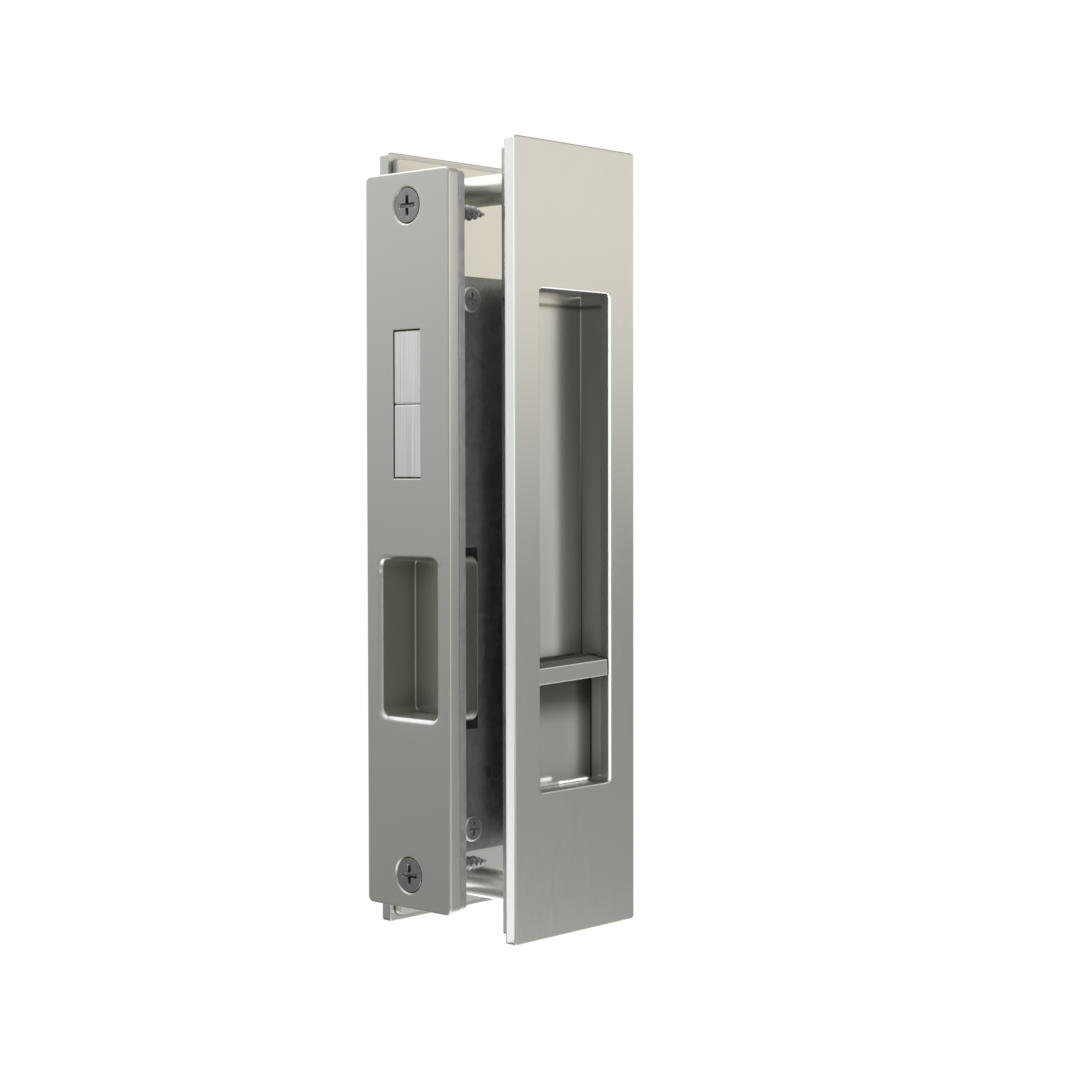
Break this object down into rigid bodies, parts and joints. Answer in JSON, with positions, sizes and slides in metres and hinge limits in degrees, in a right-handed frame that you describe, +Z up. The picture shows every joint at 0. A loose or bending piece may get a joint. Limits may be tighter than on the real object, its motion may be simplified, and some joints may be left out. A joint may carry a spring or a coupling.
{
  "type": "pocket door privacy lock",
  "caption": "Flush privacy lock set for a sliding pocket door: recessed face plates, a thumb bar that slides down, an edge plate with a finger cup and flush splaying bolts.",
  "frame": {"origin": "middle of the two edge screws, on the back of the case forend, where the lock seats on the wood of the door's edge", "axes": "+X from the door's edge into the door, +Y from the inside face to the outside face, +Z up"},
  "size_m": [0.0493, 0.0404, 0.1692],
  "materials": {
    "satin_nickel": "satin",
    "stainless": "brushed",
    "zinc_steel": "zinc plated",
    "zinc_casting": "as cast",
    "acetal": "moulded",
    "brass": "turned",
    "spring_steel": "drawn wire"
  },
  "bodies": {
    "lock": {"bar_guide_pins": "zinc_steel", "bolt_guide_pins": "zinc_steel", "carriage_guide_pins": "zinc_steel", "case_body": "zinc_steel", "case_cover": "zinc_steel", "case_forend": "zinc_steel", "case_pillars": "zinc_steel", "case_screws": "zinc_steel", "edge_plate": "satin_nickel", "edge_screws": "satin_nickel", "friction_block": "acetal", "friction_plunger": "brass", "friction_spring": "spring_steel", "inside_face_plate": "satin_nickel", "inside_tray": "satin_nickel", "outside_face_plate": "satin_nickel", "outside_tray": "satin_nickel", "through_bolts": "zinc_steel"},
    "snib": {"snib": "satin_nickel", "drive_pin": "stainless", "drive_washer": "zinc_steel", "drive_bar": "zinc_steel"},
    "carriage": {"bolt_carriage": "zinc_casting", "carriage_pin": "stainless"},
    "upper_bolt": {"upper_bolt": "stainless"},
    "lower_bolt": {"lower_bolt": "stainless"},
    "release": {"release_follower": "zinc_casting", "release_spindle": "stainless", "release_turn": "satin_nickel", "release_clip": "stainless"}
  },
  "joints": [
    {"name": "snib_slide", "type": "slide", "parent": "lock", "child": "snib", "axis": [0, 0, -1], "range_m": [0, 0.011]},
    {"name": "carriage_throw", "type": "slide", "parent": "lock", "child": "carriage", "axis": [-1, 0, 0], "range_m": [0, 0.011]},
    {"name": "upper_bolt_throw", "type": "slide", "parent": "lock", "child": "upper_bolt", "axis": [-0.9848, 0, 0.1736], "range_m": [0, 0.01117]},
    {"name": "lower_bolt_throw", "type": "slide", "parent": "lock", "child": "lower_bolt", "axis": [-0.9848, 0, -0.1736], "range_m": [0, 0.01117]},
    {"name": "release_turning", "type": "hinge", "parent": "lock", "child": "release", "pos_m": [0.025, 0, -0.028], "axis": [0, -1, 0], "range_deg": [0, 90]}
  ],
  "couplings": [
    {"joint": "carriage_throw", "follows": "snib_slide", "ratio": 1},
    {"joint": "upper_bolt_throw", "follows": "snib_slide", "ratio": 1.0154},
    {"joint": "lower_bolt_throw", "follows": "snib_slide", "ratio": 1.0154},
    {"joint": "release_turning", "follows": "snib_slide", "rad_per_m": 142.86}
  ]
}
